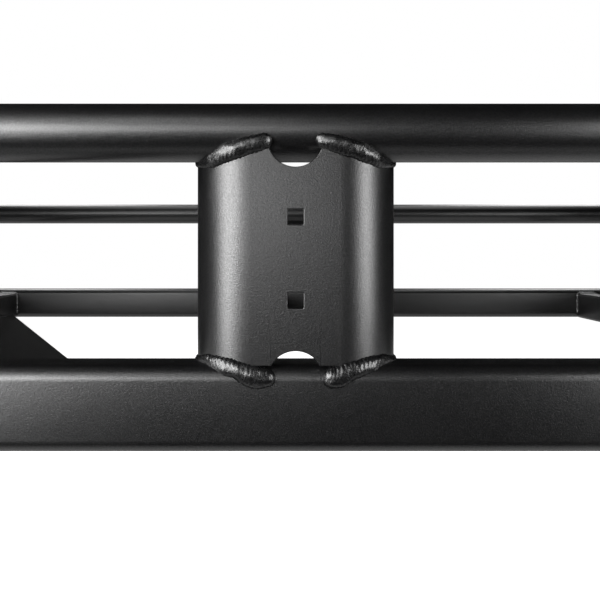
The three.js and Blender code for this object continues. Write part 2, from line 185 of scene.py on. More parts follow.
def spring_steel(name):
    m = Nodes(name)
    m.set("Base Color", m.ramp(m.noise(500.0, 2.0), [(0.3, (0.42, 0.43, 0.45)), (0.7, (0.53, 0.53, 0.54))]))
    m.set("Roughness", m.spread(m.noise(1500.0, 2.0), 0.2, 0.34, 0.3, 0.7))
    m.set("Normal", m.bump(m.noise(2500.0, 1.0), 0.08, 0.03 * MM))
    m.value("Metallic", 1.0)
    return m.material


def black_plastic(name):
    """Moulded plastic with a spark-eroded grain."""
    m = Nodes(name)
    m.set("Base Color", m.ramp(m.noise(60.0, 3.0), [(0.3, (0.016, 0.016, 0.017)), (0.7, (0.024, 0.024, 0.024))]))
    m.set("Roughness", m.spread(m.noise(1200.0, 2.0), 0.5, 0.62, 0.3, 0.7))
    m.set("Normal", m.bump(m.noise(1700.0, 2.0, 0.7), 0.4, 0.1 * MM))
    return m.material


def turned_brass(name):
    m = Nodes(name)
    m.set("Base Color", m.ramp(m.noise(400.0, 3.0), [(0.3, (0.52, 0.37, 0.16)), (0.7, (0.66, 0.50, 0.24))]))
    m.set("Roughness", m.spread(m.noise(900.0, 3.0), 0.24, 0.38, 0.3, 0.7))
    m.set("Normal", m.bump(m.noise(2200.0, 1.0), 0.1, 0.04 * MM))
    m.value("Metallic", 1.0)
    return m.material


COAT = powder_coat("satin_black_powder_coat")
WELD_COAT = powder_coat("powder_coat_over_weld", 1.0, (0.24, 0.36))
ZINC = zinc_plate("zinc_plate")
SPRING = spring_steel("spring_wire")
PLASTIC = black_plastic("grained_black_plastic")
BRASS = turned_brass("turned_brass")

# ---- Mesh helpers ----


def make_piece(name, verts, faces, material, body, replaced=(), sharp=35.0):
    mesh = bpy.data.meshes.new(name)
    mesh.from_pydata([tuple(v) for v in verts], [], faces)
    mesh.materials.append(material)
    piece = bpy.data.objects.new(name, mesh)
    bpy.context.scene.collection.objects.link(piece)
    return finish_piece(piece, body, replaced, sharp)


def finish_piece(piece, body, replaced=(), sharp=35.0, weighted=False):
    """Welds doubles, turns the faces outwards, shades by angle, and ties the piece to the frame."""
    bm = bmesh.new()
    bm.from_mesh(piece.data)
    bmesh.ops.remove_doubles(bm, verts=bm.verts, dist=1e-6)
    bmesh.ops.recalc_face_normals(bm, faces=bm.faces)
    bm.to_mesh(piece.data)
    bm.free()
    piece.data.polygons.foreach_set("use_smooth", [True] * len(piece.data.polygons))
    piece.data.set_sharp_from_angle(angle=math.radians(sharp))
    if weighted:
        even = piece.modifiers.new("even_shading", "WEIGHTED_NORMAL")
        even.keep_sharp = True
        even.weight = 80
    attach(piece, body)
    if replaced:
        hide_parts(*replaced)
    return piece


def grid_faces(rows, columns, closed=True):
    """Quads between rows of points; closed joins each row's last point to its first."""
    faces = []
    for r in range(rows - 1):
        for c in range(columns if closed else columns - 1):
            n = (c + 1) % columns
            faces.append((r * columns + c, r * columns + n, (r + 1) * columns + n, (r + 1) * columns + c))
    return faces


def circle(radius, sides):
    return [
        (radius * math.cos(2 * math.pi * i / sides), radius * math.sin(2 * math.pi * i / sides))
        for i in range(sides)
    ]


def arc(x, y, radius, start, end, steps):
    return [
        (x + radius * math.cos(a), y + radius * math.sin(a))
        for a in np.linspace(start, end, steps + 1)
    ]


def rounded_rect(width, height, radius, steps):
    x, y, q = width / 2 - radius, height / 2 - radius, math.pi / 2
    return (
        arc(x, y, radius, 0, q, steps)
        + arc(-x, y, radius, q, 2 * q, steps)
        + arc(-x, -y, radius, 2 * q, 3 * q, steps)
        + arc(x, -y, radius, 3 * q, 4 * q, steps)
    )


def place_section(section, origin, across, up):
    return [origin + across * a + up * b for a, b in section]


def hollow_sweep(outer, inner, stations):
    """A tube along stations of (origin, across, up), open at both ends."""
    verts = []
    for section in (outer, inner):
        for origin, across, up in stations:
            verts += place_section(section, origin, across, up)
    rows, count, inner_count = len(stations), len(outer), len(inner)
    faces = grid_faces(rows, count)
    offset = rows * count
    faces += [tuple(offset + i for i in reversed(f)) for f in grid_faces(rows, inner_count)]
    for row in (0, rows - 1):
        for c in range(count):
            n = (c + 1) % count
            faces.append((row * count + c, row * count + n, offset + row * count + n, offset + row * count + c))
    return verts, faces


def modified(piece, *settings):
    """Applies modifiers, each given as (type, {setting: value}), and returns the piece."""
    for kind, values in settings:
        modifier = piece.modifiers.new(kind.lower(), kind)
        for key, value in values.items():
            setattr(modifier, key, value)
    graph = bpy.context.evaluated_depsgraph_get()
    mesh = bpy.data.meshes.new_from_object(piece.evaluated_get(graph))
    piece.modifiers.clear()
    piece.data = mesh
    return piece


def loose(name, verts, faces):
    """An object that is only a step on the way to a piece."""
    mesh = bpy.data.meshes.new(name)
    mesh.from_pydata([tuple(v) for v in verts], [], faces)
    thing = bpy.data.objects.new(name, mesh)
    bpy.context.scene.collection.objects.link(thing)
    bm = bmesh.new()
    bm.from_mesh(mesh)
    bmesh.ops.delete(bm, geom=[v for v in bm.verts if not v.link_faces], context="VERTS")
    bmesh.ops.remove_doubles(bm, verts=bm.verts, dist=1e-7)
    bmesh.ops.recalc_face_normals(bm, faces=bm.faces)
    bm.to_mesh(mesh)
    bm.free()
    return thing


def prism(name, outline, low, high, transform=lambda a, b, c: Vector((a, b, c)), steps=1):
    """A closed prism over an outline in the first two axes, from low to high along the third."""
    rows = [low + (high - low) * i / steps for i in range(steps + 1)]
    verts = [transform(a, b, c) for c in rows for a, b in outline]
    count = len(outline)
    faces = grid_faces(len(rows), count)
    faces.append(tuple(reversed(range(count))))
    faces.append(tuple(range(steps * count, (steps + 1) * count)))
    return loose(name, verts, faces)


def carve(target, *cutters):
    """Cuts each cutter out of the target, and removes the cutters."""
    for cutter in cutters:
        modified(target, ("BOOLEAN", {"operation": "DIFFERENCE", "object": cutter, "solver": "EXACT"}))
        bpy.data.objects.remove(cutter)
    return target


def bevelled(thing, width, segments=2, angle=30.0):
    return modified(
        thing,
        (
            "BEVEL",
            {
                "width": width,
                "segments": segments,
                "limit_method": "ANGLE",
                "angle_limit": math.radians(angle),
                "use_clamp_overlap": True,
                "harden_normals": False,
            },
        ),
    )


# ---- Rails ----

CORNER_STEPS = 24
STRAIGHT_STEPS = 6


def half_loop(inset, height, flip):
    """Stations along half of the basket's outline: down one side, round two corners and up the other."""
    half_x = HALF_WIDTH - inset
    half_y = HALF_DEPTH - inset
    radius = CORNER_R - inset
    turn = Matrix.Rotation(math.pi if flip else 0.0, 3, "Z")
    centre = Vector((0, MID_Y, height))
    path = [((-half_x, -SEAM_GAP / 2), (0, -1))]
    for side, start in ((-1, math.pi), (1, 1.5 * math.pi)):
        for a in np.linspace(start, start + math.pi / 2, CORNER_STEPS + 1):
            x = side * (half_x - radius) + radius * math.cos(a)
            y = radius - half_y + radius * math.sin(a)
            path.append(((x, y), (-math.sin(a), math.cos(a))))
    path.append(((half_x, -SEAM_GAP / 2), (0, 1)))
    stations = []
    for (x, y), (tx, ty) in path:
        tangent = turn @ Vector((tx, ty, 0))
        stations.append((centre + turn @ Vector((x, y, 0)), UP.cross(tangent), UP))
    return stations


def add_rail(node, upper, flip):
    if upper:
        stations = half_loop(TUBE_R, TUBE_Z, flip)
        outer, inner = circle(TUBE_R, 64), circle(TUBE_R - UPPER_WALL, 64)
    else:
        height = LOWER_TOP - FLOOR_Z
        stations = half_loop(LOWER_DEPTH / 2, FLOOR_Z + height / 2, flip)
        outer = rounded_rect(LOWER_DEPTH, height, LOWER_CORNER, 10)
        inner = rounded_rect(
            LOWER_DEPTH - 2 * LOWER_WALL, height - 2 * LOWER_WALL, LOWER_CORNER - LOWER_WALL, 10
        )
    verts, faces = hollow_sweep(outer, inner, stations)
    make_piece(node + "_tube", verts, faces, COAT, BASKET, [node])


for end, flip in (("rear", False), ("front", True)):
    add_rail(f"upper_rail_{end}", True, flip)
    add_rail(f"lower_rail_{end}", False, flip)

# ---- Brackets ----

# Where each bracket stands: the middle of its flat face on the basket's outline, and its turn about +Z.
BRACKET_PLACES = {
    "rear": (Vector((0, REAR_Y, FLOOR_Z)), 0.0),
    "front": (Vector((0, FRONT_Y, FLOOR_Z)), math.pi),
    "left": (Vector((-HALF_WIDTH, MID_Y, FLOOR_Z)), -math.pi / 2),
    "right": (Vector((HALF_WIDTH, MID_Y, FLOOR_Z)), math.pi / 2),
}
BRACKET_HALF = BRACKET_HIGH.x
BRACKET_DEPTH = BRACKET_HIGH.y - BRACKET_LOW.y
BRACKET_BASE = BRACKET_LOW.z - FLOOR_Z
BRACKET_TOP = 162.4 * MM
UPPER_CENTRE = TUBE_Z - FLOOR_Z
UPPER_NOTCH = 167.2 * MM
LOWER_NOTCH = 40.7 * MM
HOLE_HEIGHTS = (82 * MM, 126.2 * MM)
HOLE_HALF = 4.25 * MM
HOLE_CORNER = 0.7 * MM


def plan_stations():
    """The bracket's bent outline in plan, as (point on the outer face, outward normal), left to right."""
    inner = BRACKET_HALF - BEND_R
    stations = [(Vector((-BRACKET_HALF, BRACKET_DEPTH, 0)), Vector((-1, 0, 0)))]
    for a in np.linspace(-math.pi / 2, 0, 31):
        normal = Vector((math.sin(a), -math.cos(a), 0))
        stations.append((Vector((-inner, BEND_R, 0)) + normal * BEND_R, normal))
    marks = {0.0, 1.2 * MM, 2.4 * MM, HOLE_HALF}
    marks |= {HOLE_HALF - HOLE_CORNER * (1 - math.sin(a)) for a in np.linspace(0, math.pi / 2, 5)}
    for centre, edge in ((UPPER_NOTCH, BRACKET_TOP), (LOWER_NOTCH, BRACKET_BASE)):
        end = math.acos(abs(centre - edge) / NOTCH_R)
        marks |= {NOTCH_R * math.sin(a) for a in np.linspace(0.42, end, 14)}
    marks = {round(m, 7) for m in marks}
    for x in sorted({-m for m in marks} | marks):
        stations.append((Vector((x, 0, 0)), Vector((0, -1, 0))))
    for a in np.linspace(0, math.pi / 2, 31):
        normal = Vector((math.sin(a), -math.cos(a), 0))
        stations.append((Vector((inner, BEND_R, 0)) + normal * BEND_R, normal))
    stations.append((Vector((BRACKET_HALF, BRACKET_DEPTH, 0)), Vector((1, 0, 0))))
    return stations


def under_tube(y):
    """The height of the upper tube's underside, less the seam, above a point y behind the outline."""
    reach = TUBE_R + SEAM_GAP
    back = min(y, TUBE_R) - TUBE_R
    return UPPER_CENTRE - math.sqrt(max(reach * reach - back * back, 0))


def plate_heights(point, normal, notched):
    """Heights of the plate's edges and of its holes' edges at one station, from the bottom up."""
    depth = max(point.y, point.y - normal.y * PLATE)
    top = min(BRACKET_TOP, under_tube(point.y), under_tube(depth))
    bottom = BRACKET_BASE
    x = abs(point.x)
    if notched and x < NOTCH_R and point.y == 0:
        rise = math.sqrt(NOTCH_R * NOTCH_R - x * x)
        top = min(top, UPPER_NOTCH - rise)
        bottom = max(bottom, LOWER_NOTCH + rise)
    flat = HOLE_HALF - HOLE_CORNER
    into = min(max(x - flat, 0), HOLE_CORNER)
    half = flat + math.sqrt(HOLE_CORNER * HOLE_CORNER - into * into)
    heights = [bottom]
    for centre in HOLE_HEIGHTS:
        heights += [centre - half, centre + half]
    return heights + [top]


def boundary_mitres(edges, flat):
    """How far each vertex of a face's boundary moves for a unit inset, from the edges that run round it with
    the face on their left."""
    normals = {}
    for a, b in edges:
        along = (flat[b] - flat[a]).normalized()
        for v in (a, b):
            normals.setdefault(v, []).append(Vector((along.y, -along.x)))
    return {v: (n[0] + n[1]) / (1 + n[0].dot(n[1])) for v, n in normals.items()}


def bracket_mesh(notched, edge=0.5 * MM, steps=3):
    """The plate's two faces, and rounded edges round its outline and its two square holes."""
    columns = [(p, n, plate_heights(p, n, notched)) for p, n in plan_stations()]
    rows = len(columns[0][2])
    places, flat, run = [], [], 0.0
    for i, (point, normal, heights) in enumerate(columns):
        run += (point - columns[max(i - 1, 0)][0]).length
        for h in heights:
            places.append((point + UP * h, normal))
            flat.append(Vector((run, h)))
    quads = []
    for i in range(len(columns) - 1):
        middle = abs(columns[i][0].x + columns[i + 1][0].x) / 2
        in_hole = middle < HOLE_HALF and columns[i][0].y == 0 and columns[i + 1][0].y == 0
        for r in range(rows - 1):
            if not (in_hole and r in (1, 3)):
                quads.append((i * rows + r, (i + 1) * rows + r, (i + 1) * rows + r + 1, i * rows + r + 1))
    directed = {(q[k], q[(k + 1) % 4]) for q in quads for k in range(4)}
    border = [(a, b) for a, b in directed if (b, a) not in directed]
    mitres = boundary_mitres(border, flat)

    def spot(v, depth, inset):
        place, normal = places[v]
        shift = mitres.get(v, Vector((0, 0))) * -inset
        return place - normal * depth + UP.cross(normal) * shift.x + UP * shift.y

    front = [(edge * (1 - math.cos(t)), edge * (1 - math.sin(t))) for t in np.linspace(0, math.pi / 2, steps + 1)]
    profile = front + [(PLATE - depth, inset) for depth, inset in reversed(front)]
    rings = len(profile)
    count = len(places)
    verts = [spot(v, depth, inset) for depth, inset in profile for v in range(count)]
    faces = [q for q in quads] + [tuple((rings - 1) * count + v for v in reversed(q)) for q in quads]
    for a, b in border:
        for k in range(rings - 1):
            faces.append((k * count + b, k * count + a, (k + 1) * count + a, (k + 1) * count + b))
    return verts, faces


def placed(piece, place, angle):
    piece.data.transform(Matrix.Translation(place) @ Matrix.Rotation(angle, 4, "Z"))
    return piece


for end, (place, angle) in BRACKET_PLACES.items():
    verts, faces = bracket_mesh(end != "front")
    plate = loose(f"bracket_{end}_plate", verts, faces)
    placed(plate, place, angle)
    plate.data.materials.append(COAT)
    finish_piece(plate, BASKET, [f"bracket_{end}"], 40.0, weighted=True)

# ---- Weld beads ----


def smooth_line(points, step):
    """A smooth curve through points of any length of numbers, sampled about every step of their first three."""
    p = [np.array(q, float) for q in points]
    p = [2 * p[0] - p[1]] + p + [2 * p[-1] - p[-2]]
    out = []
    for i in range(1, len(p) - 2):
        length = np.linalg.norm(p[i + 1][:3] - p[i][:3])
        count = max(2, round(length / step))
        for k in range(count):
            t = k / count
            out.append(
                0.5
                * (
                    2 * p[i]
                    + (p[i + 1] - p[i - 1]) * t
                    + (2 * p[i - 1] - 5 * p[i] + 4 * p[i + 1] - p[i + 2]) * t * t
                    + (3 * p[i] - p[i - 1] - 3 * p[i + 1] + p[i + 2]) * t * t * t
                )
            )
    out.append(p[-2])
    return out


def frames_along(points, outward):
    """(origin, across, out) at each point of a line; outward(i, tangent) gives a rough outward direction."""
    frames = []
    for i, point in enumerate(points):
        before, after = points[max(i - 1, 0)], points[min(i + 1, len(points) - 1)]
        tangent = (after - before).normalized()
        rough = outward(i, tangent)
        out = (rough - tangent * rough.dot(tangent)).normalized()
        frames.append((point, tangent.cross(out), out))
    return frames


BEAD_SIDES = 28
RIPPLE_PITCH = 2.3 * MM


def bead(points, radii, outward, flat=0.72, ripple=0.09, seed=0.0, closed=False, slant=0.0):
    """A rippled weld bead along points: overlapping crescents, a slightly wandering width and round ends."""
    frames = frames_along(points, outward)
    travelled = 0.0
    verts = []
    last = points[0]
    total = sum((b - a).length for a, b in zip(points, points[1:]))
    for (origin, across, out), radius in zip(frames, radii):
        travelled += (origin - last).length
        last = origin
        to_end = min(travelled, total - travelled)
        taper = 1.0 if closed else math.sqrt(max(1 - (1 - min(to_end / (0.9 * radius), 1)) ** 2, 0.0004))
        for k in range(BEAD_SIDES):
            a = 2 * math.pi * k / BEAD_SIDES
            crescent = 1.2 * (1 - max(math.sin(a), 0)) + slant * math.cos(a)
            uneven = 0.35 * noise.noise(Vector((travelled * 300, seed, 0)))
            phase = (travelled / RIPPLE_PITCH + crescent + uneven) % 1.0
            wave = 1 + ripple * (0.5 - abs(phase - 0.35) / 0.65)
            spot = origin + across * math.cos(a) * radius + out * math.sin(a) * radius
            wander = 1 + 0.1 * noise.noise(spot * 220 + Vector((seed, 0, 0)))
            streak = 1 + 0.06 * noise.noise(Vector((travelled * 220, 2.6 * math.cos(a), 2.6 * math.sin(a) + seed)))
            rough = 1 + 0.03 * noise.noise(spot * 1300 + Vector((seed, 0, 0)))
            r = radius * taper * wave * wander * streak * rough
            verts.append(origin + across * (r * math.cos(a)) + out * (flat * r * math.sin(a)))
    rows = len(points)
    faces = grid_faces(rows, BEAD_SIDES)
    if closed:
        offset = (rows - 1) * BEAD_SIDES
        for k in range(BEAD_SIDES):
            n = (k + 1) % BEAD_SIDES
            faces.append((offset + k, offset + n, n, k))
    else:
        faces.append(tuple(reversed(range(BEAD_SIDES))))
        faces.append(tuple(range((rows - 1) * BEAD_SIDES, rows * BEAD_SIDES)))
    return verts, faces


def merged(parts):
    verts, faces = [], []
    for part_verts, part_faces in parts:
        offset = len(verts)
        verts += part_verts
        faces += [tuple(offset + i for i in f) for f in part_faces]
    return verts, faces


# Beads at a bracket's corners, right of its middle: x, depth behind the outline, height and radius, in mm.
UPPER_BEAD = [
    (10.6, 1.6, 167.2, 3.2),
    (14.5, 0.9, 166.6, 4.0),
    (20.0, 0.5, 165.0, 4.6),
    (25.6, 0.6, 163.4, 5.0),
    (31.0, 1.2, 161.9, 5.1),
    (35.5, 2.4, 160.5, 5.0),
    (40.0, 4.6, 158.9, 4.8),
    (44.6, 7.8, 157.2, 4.2),
    (48.8, 11.8, 156.8, 3.3),
    (52.6, 16.8, 157.4, 2.5),
    (55.8, 23.0, 158.2, 2.0),
    (57.1, 30.0, 158.8, 1.8),
    (57.2, 36.5, 159.0, 1.6),
]
LOWER_BEAD = [
    (8.6, 1.4, 41.2, 3.4),
    (12.0, 0.9, 41.0, 4.4),
    (17.0, 0.5, 41.0, 5.4),
    (21.4, 0.4, 41.6, 5.8),
    (26.0, 0.6, 43.2, 5.5),
    (30.9, 1.2, 45.0, 5.0),
    (37.0, 3.2, 46.4, 5.0),
    (42.4, 6.0, 47.4, 4.7),
    (48.0, 10.6, 48.0, 3.7),
    (53.0, 16.6, 47.2, 2.7),
    (56.0, 23.0, 46.2, 2.2),
    (57.1, 30.0, 45.8, 2.0),
    (57.2, 36.5, 45.6, 1.8),
]


def bend_normal(point):
    """The outward direction of the bracket's face nearest to a point of its own frame."""
    inner = BRACKET_HALF - BEND_R
    over = max(abs(point.x) - inner, 0)
    angle = math.atan2(over, max(BEND_R - point.y, 1e-6)) if over else 0.0
    return Vector((math.copysign(math.sin(angle), point.x), -math.cos(angle), 0))


# Where the left and the right bead start, from the bracket's middle.
UPPER_STARTS = {-1: 12.2 * MM, 1: 10.6 * MM}
LOWER_STARTS = {-1: 10.4 * MM, 1: 14.0 * MM}


def bracket_beads(seed):
    parts = []
    rows = ((UPPER_BEAD, UPPER_STARTS, -0.25, -1.7), (LOWER_BEAD, LOWER_STARTS, 0.05, 1.7))
    for n, (line, starts, tilt, slant) in enumerate(rows):
        samples = smooth_line([[v * MM for v in row] for row in line], 0.33 * MM)
        for side in (-1, 1):
            kept = [q for q in samples if q[0] >= starts[side]]
            points = [Vector((side * q[0], q[1], q[2])) for q in kept]
            radii = [q[3] for q in kept]
            outward = lambda i, tangent, line=points, lean=tilt: bend_normal(line[i]) + UP * lean
            parts.append(bead(points, radii, outward, seed=seed + 3 * n + side, slant=slant * side))
    return merged(parts)


for index, (end, (place, angle)) in enumerate(BRACKET_PLACES.items()):
    verts, faces = bracket_beads(10.0 * index)
    beads = make_piece(f"weld_beads_{end}_bracket", verts, faces, WELD_COAT, BASKET, sharp=80.0)
    placed(beads, place, angle)


def straight(start, end, step=0.5 * MM):
    count = max(2, round((end - start).length / step))
    return [start.lerp(end, i / count) for i in range(count + 1)]


def fillet(points, radius, outward, seed, closed=False):
    return bead(points, [radius] * len(points), outward, 1.0, 0.05, seed, closed)


def bar_welds():
    """Fillets over both ends of the four floor bars, where they butt against the rails."""
    parts = []
    for n, node in enumerate(("floor_bar_left", "floor_bar_right", "floor_bar_outer_left", "floor_bar_outer_right")):
        low, high, middle = span(node)
        for y, out in ((low.y, 1), (high.y, -1)):
            r = 4 * MM
            corner = (
                [(low.x, low.z + 7 * MM)]
                + arc(low.x + r, high.z - r, r, math.pi, math.pi / 2, 8)
                + arc(high.x - r, high.z - r, r, math.pi / 2, 0, 8)
                + [(high.x, low.z + 7 * MM)]
            )
            line = [Vector((x, y, z)) for x, z in corner]
            points = []
            for a, b in zip(line, line[1:]):
                points += straight(a, b, 0.55 * MM)[:-1]
            points.append(line[-1])
            centre = Vector((middle.x, y, middle.z))
            outward = lambda i, t, p=points, c=centre, o=out: (p[i] - c).normalized() + Vector((0, o, 0))
            parts.append(fillet(points, 2.6 * MM, outward, 5.0 * n + out))
    return merged(parts)


def brace_welds():
    """Fillets along the brace's two ends, on its upper side."""
    top = BRACE_HIGH.z - 0.5 * MM
    skew = BRACE_WIDTH * math.hypot(1, BRACE_SLOPE)
    rear_y = BRACE_LOW.y
    edge = BRACE_HIGH.x
    side_x = BRACE_LOW.x
    reach = rear_y + (edge - side_x) / BRACE_SLOPE
    near = straight(Vector((edge - skew + 2 * MM, rear_y, top)), Vector((edge - 2 * MM, rear_y, top)))
    far = straight(
        Vector((side_x, reach - skew / BRACE_SLOPE + 2 * MM, top)), Vector((side_x, reach - 2 * MM, top))
    )
    return merged(
        [
            fillet(near, 2.4 * MM, lambda i, t: Vector((0, 1, 1)), 2.0),
            fillet(far, 2.4 * MM, lambda i, t: Vector((1, 0, 1)), 7.0),
        ]
    )


def seam_welds():
    """Low beads round the rails, where their two halves meet under the side brackets."""
    parts = []
    for side in (-1, 1):
        lower = Vector((side * (HALF_WIDTH - LOWER_DEPTH / 2), MID_Y, (FLOOR_Z + LOWER_TOP) / 2))
        upper = Vector((side * (HALF_WIDTH - TUBE_R), MID_Y, TUBE_Z))
        height = LOWER_TOP - FLOOR_Z
        rings = (
            (lower, rounded_rect(LOWER_DEPTH, height, LOWER_CORNER, 14), 1.9 * MM),
            (upper, circle(TUBE_R, 120), 1.9 * MM),
        )
        for n, (centre, outline, radius) in enumerate(rings):
            line = [centre + Vector((a, 0, b)) for a, b in outline]
            points = []
            for a, b in zip(line, line[1:] + line[:1]):
                points += straight(a, b, 0.6 * MM)[:-1] if (b - a).length > 0.9 * MM else [a]
            outward = lambda i, t, p=points, c=centre: p[i] - c
            verts, faces = bead(points, [radius] * len(points), outward, 0.45, 0.12, side + n, True)
            parts.append((verts, faces))
    return merged(parts)


def lug_welds():
    """Fillets along the hinge lugs, under the floor bars and the front rail and up the front rail's face."""
    parts = []
    for n, node in enumerate(("hinge_lug_left", "hinge_lug_right")):
        low, high, middle = span(node)
        for x, out in ((low.x, -1), (high.x, 1)):
            under = straight(Vector((x, low.y + 4 * MM, FLOOR_Z)), Vector((x, FRONT_Y - 12 * MM, FLOOR_Z)), 0.6 * MM)
            up = straight(
                Vector((x, FRONT_Y, FLOOR_Z + 12 * MM)), Vector((x, FRONT_Y, LOWER_TOP - 11 * MM)), 0.6 * MM
            )
            parts.append(fillet(under, 2.6 * MM, lambda i, t, o=out: Vector((o, 0, -1)), 4.0 * n + out))
            parts.append(fillet(up, 2.6 * MM, lambda i, t, o=out: Vector((o, 1, 0)), 6.0 * n + out))
    return merged(parts)


for name, build in (
    ("weld_fillets_floor_bars", bar_welds),
    ("weld_fillets_brace", brace_welds),
    ("weld_rings_rail_seams", seam_welds),
    ("weld_fillets_hinge_lugs", lug_welds),
):
    verts, faces = build()
    make_piece(name, verts, faces, WELD_COAT, BASKET, sharp=80.0)

# ---- Floor bars, brace and spigots ----


def bar_along_y(node, corner, wall, material, body):
    low, high, middle = span(node)
    width, height = high.x - low.x, high.z - low.z
    outer = rounded_rect(width, height, corner, 8)
    inner = rounded_rect(width - 2 * wall, height - 2 * wall, max(corner - wall, 0.4 * MM), 8)
    across = Vector((1, 0, 0))
    stations = [(Vector((middle.x, y, middle.z)), across, UP) for y in np.linspace(low.y, high.y, 5)]
    verts, faces = hollow_sweep(outer, inner, stations)
    make_piece(node + "_tube", verts, faces, material, body, [node])


for node in ("floor_bar_left", "floor_bar_right", "floor_bar_outer_left", "floor_bar_outer_right"):
    bar_along_y(node, 4 * MM, 2 * MM, COAT, BASKET)
for side in ("left", "right"):
    bar_along_y(f"lower_spigot_{side}", 5.7 * MM, 2 * MM, ZINC, BASKET)
    bar_along_y(f"upper_spigot_{side}", 13.69 * MM, 2 * MM, ZINC, BASKET)


def add_brace():
    skew = BRACE_WIDTH * math.hypot(1, BRACE_SLOPE)
    side_x, edge = BRACE_LOW.x, BRACE_HIGH.x
    rear_y, front_y = BRACE_LOW.y, BRACE_HIGH.y
    outline = [
        (edge - skew, rear_y),
        (edge, rear_y),
        (side_x, front_y),
        (side_x, front_y - skew / BRACE_SLOPE),
    ]
    bar = prism("diagonal_brace_bar", outline, BRACE_LOW.z, BRACE_HIGH.z)
    bevelled(bar, 1.0 * MM, 3)
    bar.data.materials.append(COAT)
    finish_piece(bar, BASKET, ["diagonal_brace"], 40.0, weighted=True)


add_brace()

# ---- Hinge lugs, shank and plug ----

PIVOT = Vector(frame["joints"][0]["pos_m"]) if "pos_m" in frame["joints"][0] else Vector((0, -307 * MM, 0))
LOCK_RADIUS = 60 * MM
LOCK_HALF = 6.6 * MM
PIVOT_HOLE = 8.4 * MM
LUG_HEAD = 77 * MM


def across_x(a, b, c):
    """An outline drawn in YZ about the pivot, and extruded along X."""
    return Vector((c, a + PIVOT.y, b + PIVOT.z))


def lug_outline(low, high):
    rail = FRONT_Y - PIVOT.y + SEAM_GAP
    top = FLOOR_Z - SEAM_GAP
    drop = 24 * MM
    tab_end = low.y - PIVOT.y
    return (
        [(rail, top), (tab_end, top), (tab_end, top - drop / 2), (rail, -drop)]
        + arc(0, 0, 28 * MM, -0.7 * math.pi, -0.4 * math.pi, 12)
        + arc(0, 0, LUG_HEAD, -0.28, math.acos(rail / LUG_HEAD), 60)
    )


def slot_outline():
    q = math.pi / 2
    return (
        arc(0, 0, LOCK_RADIUS + LOCK_HALF, 0, q, 40)
        + arc(0, LOCK_RADIUS, LOCK_HALF, q, 3 * q, 20)[1:-1]
        + arc(0, 0, LOCK_RADIUS - LOCK_HALF, q, 0, 40)
        + arc(LOCK_RADIUS, 0, LOCK_HALF, -2 * q, 0, 20)[1:-1]
    )


def add_lug(node):
    low, high, middle = span(node)
    plate = prism(node + "_plate", lug_outline(low, high), low.x, high.x, across_x)
    reach = (low.x - 5 * MM, high.x + 5 * MM)
    carve(
        plate,
        prism("pivot_hole", circle(PIVOT_HOLE, 64), *reach, across_x),
        prism("slot", slot_outline(), *reach, across_x),
    )
    bevelled(plate, 0.8 * MM, 3)
    plate.data.materials.clear()
    plate.data.materials.append(COAT)
    finish_piece(plate, BASKET, [node], 40.0, weighted=True)


for side in ("left", "right"):
    add_lug(f"hinge_lug_{side}")


def along_y(a, b, c):
    return Vector((a, c, b))


def add_shank():
    low, high, middle = span("shank")
    size = high.x - low.x
    tube = prism("shank_tube", rounded_rect(size, size, 6 * MM, 10), low.y, high.y, along_y)
    inside = size - 8 * MM
    cutters = [prism("bore", rounded_rect(inside, inside, 2 * MM, 6), low.y - 0.01, high.y + 0.01, along_y)]
    for y, radius in (
        (PIVOT.y, PIVOT_HOLE),
        (PIVOT.y + LOCK_RADIUS, 6.4 * MM),
        (0.0, 8.3 * MM),
    ):
        place = lambda a, b, c, y=y: Vector((c, a + y, b))
        cutters.append(prism("drill", circle(radius, 48), -size, size, place))
    carve(tube, *cutters)
    bevelled(tube, 0.6 * MM, 2)
    tube.data.materials.clear()
    tube.data.materials.append(COAT)
    finish_piece(tube, SHANK, ["shank"], 40.0, weighted=True)


add_shank()


def add_plug():
    low, high, middle = span("shank_plug")
    size = high.x - low.x
    flange = prism("shank_plug_flange", rounded_rect(size, size, 6 * MM, 10), low.y, low.y + 3 * MM, along_y)
    bevelled(flange, 0.9 * MM, 3)
    stem = size - 8.6 * MM
    outer = rounded_rect(stem, stem, 2 * MM, 5)
    inner = rounded_rect(stem - 2.5 * MM, stem - 2.5 * MM, 1 * MM, 5)
    across = Vector((1, 0, 0))
    stations = [(Vector((0, y, 0)), across, UP) for y in (low.y + 2.6 * MM, high.y)]
    wall_verts, wall_faces = hollow_sweep(outer, inner, stations)
    parts = [([v.co.copy() for v in flange.data.vertices], [tuple(p.vertices) for p in flange.data.polygons])]
    parts.append((wall_verts, wall_faces))
    for k in range(3):
        y = low.y + (5 + 3 * k) * MM
        rib = rounded_rect(stem + 0.4 * MM, stem + 0.4 * MM, 2.2 * MM, 5)
        lip = [(Vector((0, y, 0)), across, UP), (Vector((0, y + 0.9 * MM, 0)), across, UP)]
        parts.append(hollow_sweep(rib, rounded_rect(stem - 1 * MM, stem - 1 * MM, 1.5 * MM, 5), lip))
    bpy.data.objects.remove(flange)
    verts, faces = merged(parts)
    make_piece("shank_plug_cap", verts, faces, PLASTIC, SHANK, ["shank_plug"], 40.0)


add_plug()

# ---- Turned and threaded pieces ----


def at(value, angle):
    return value(angle) if callable(value) else value


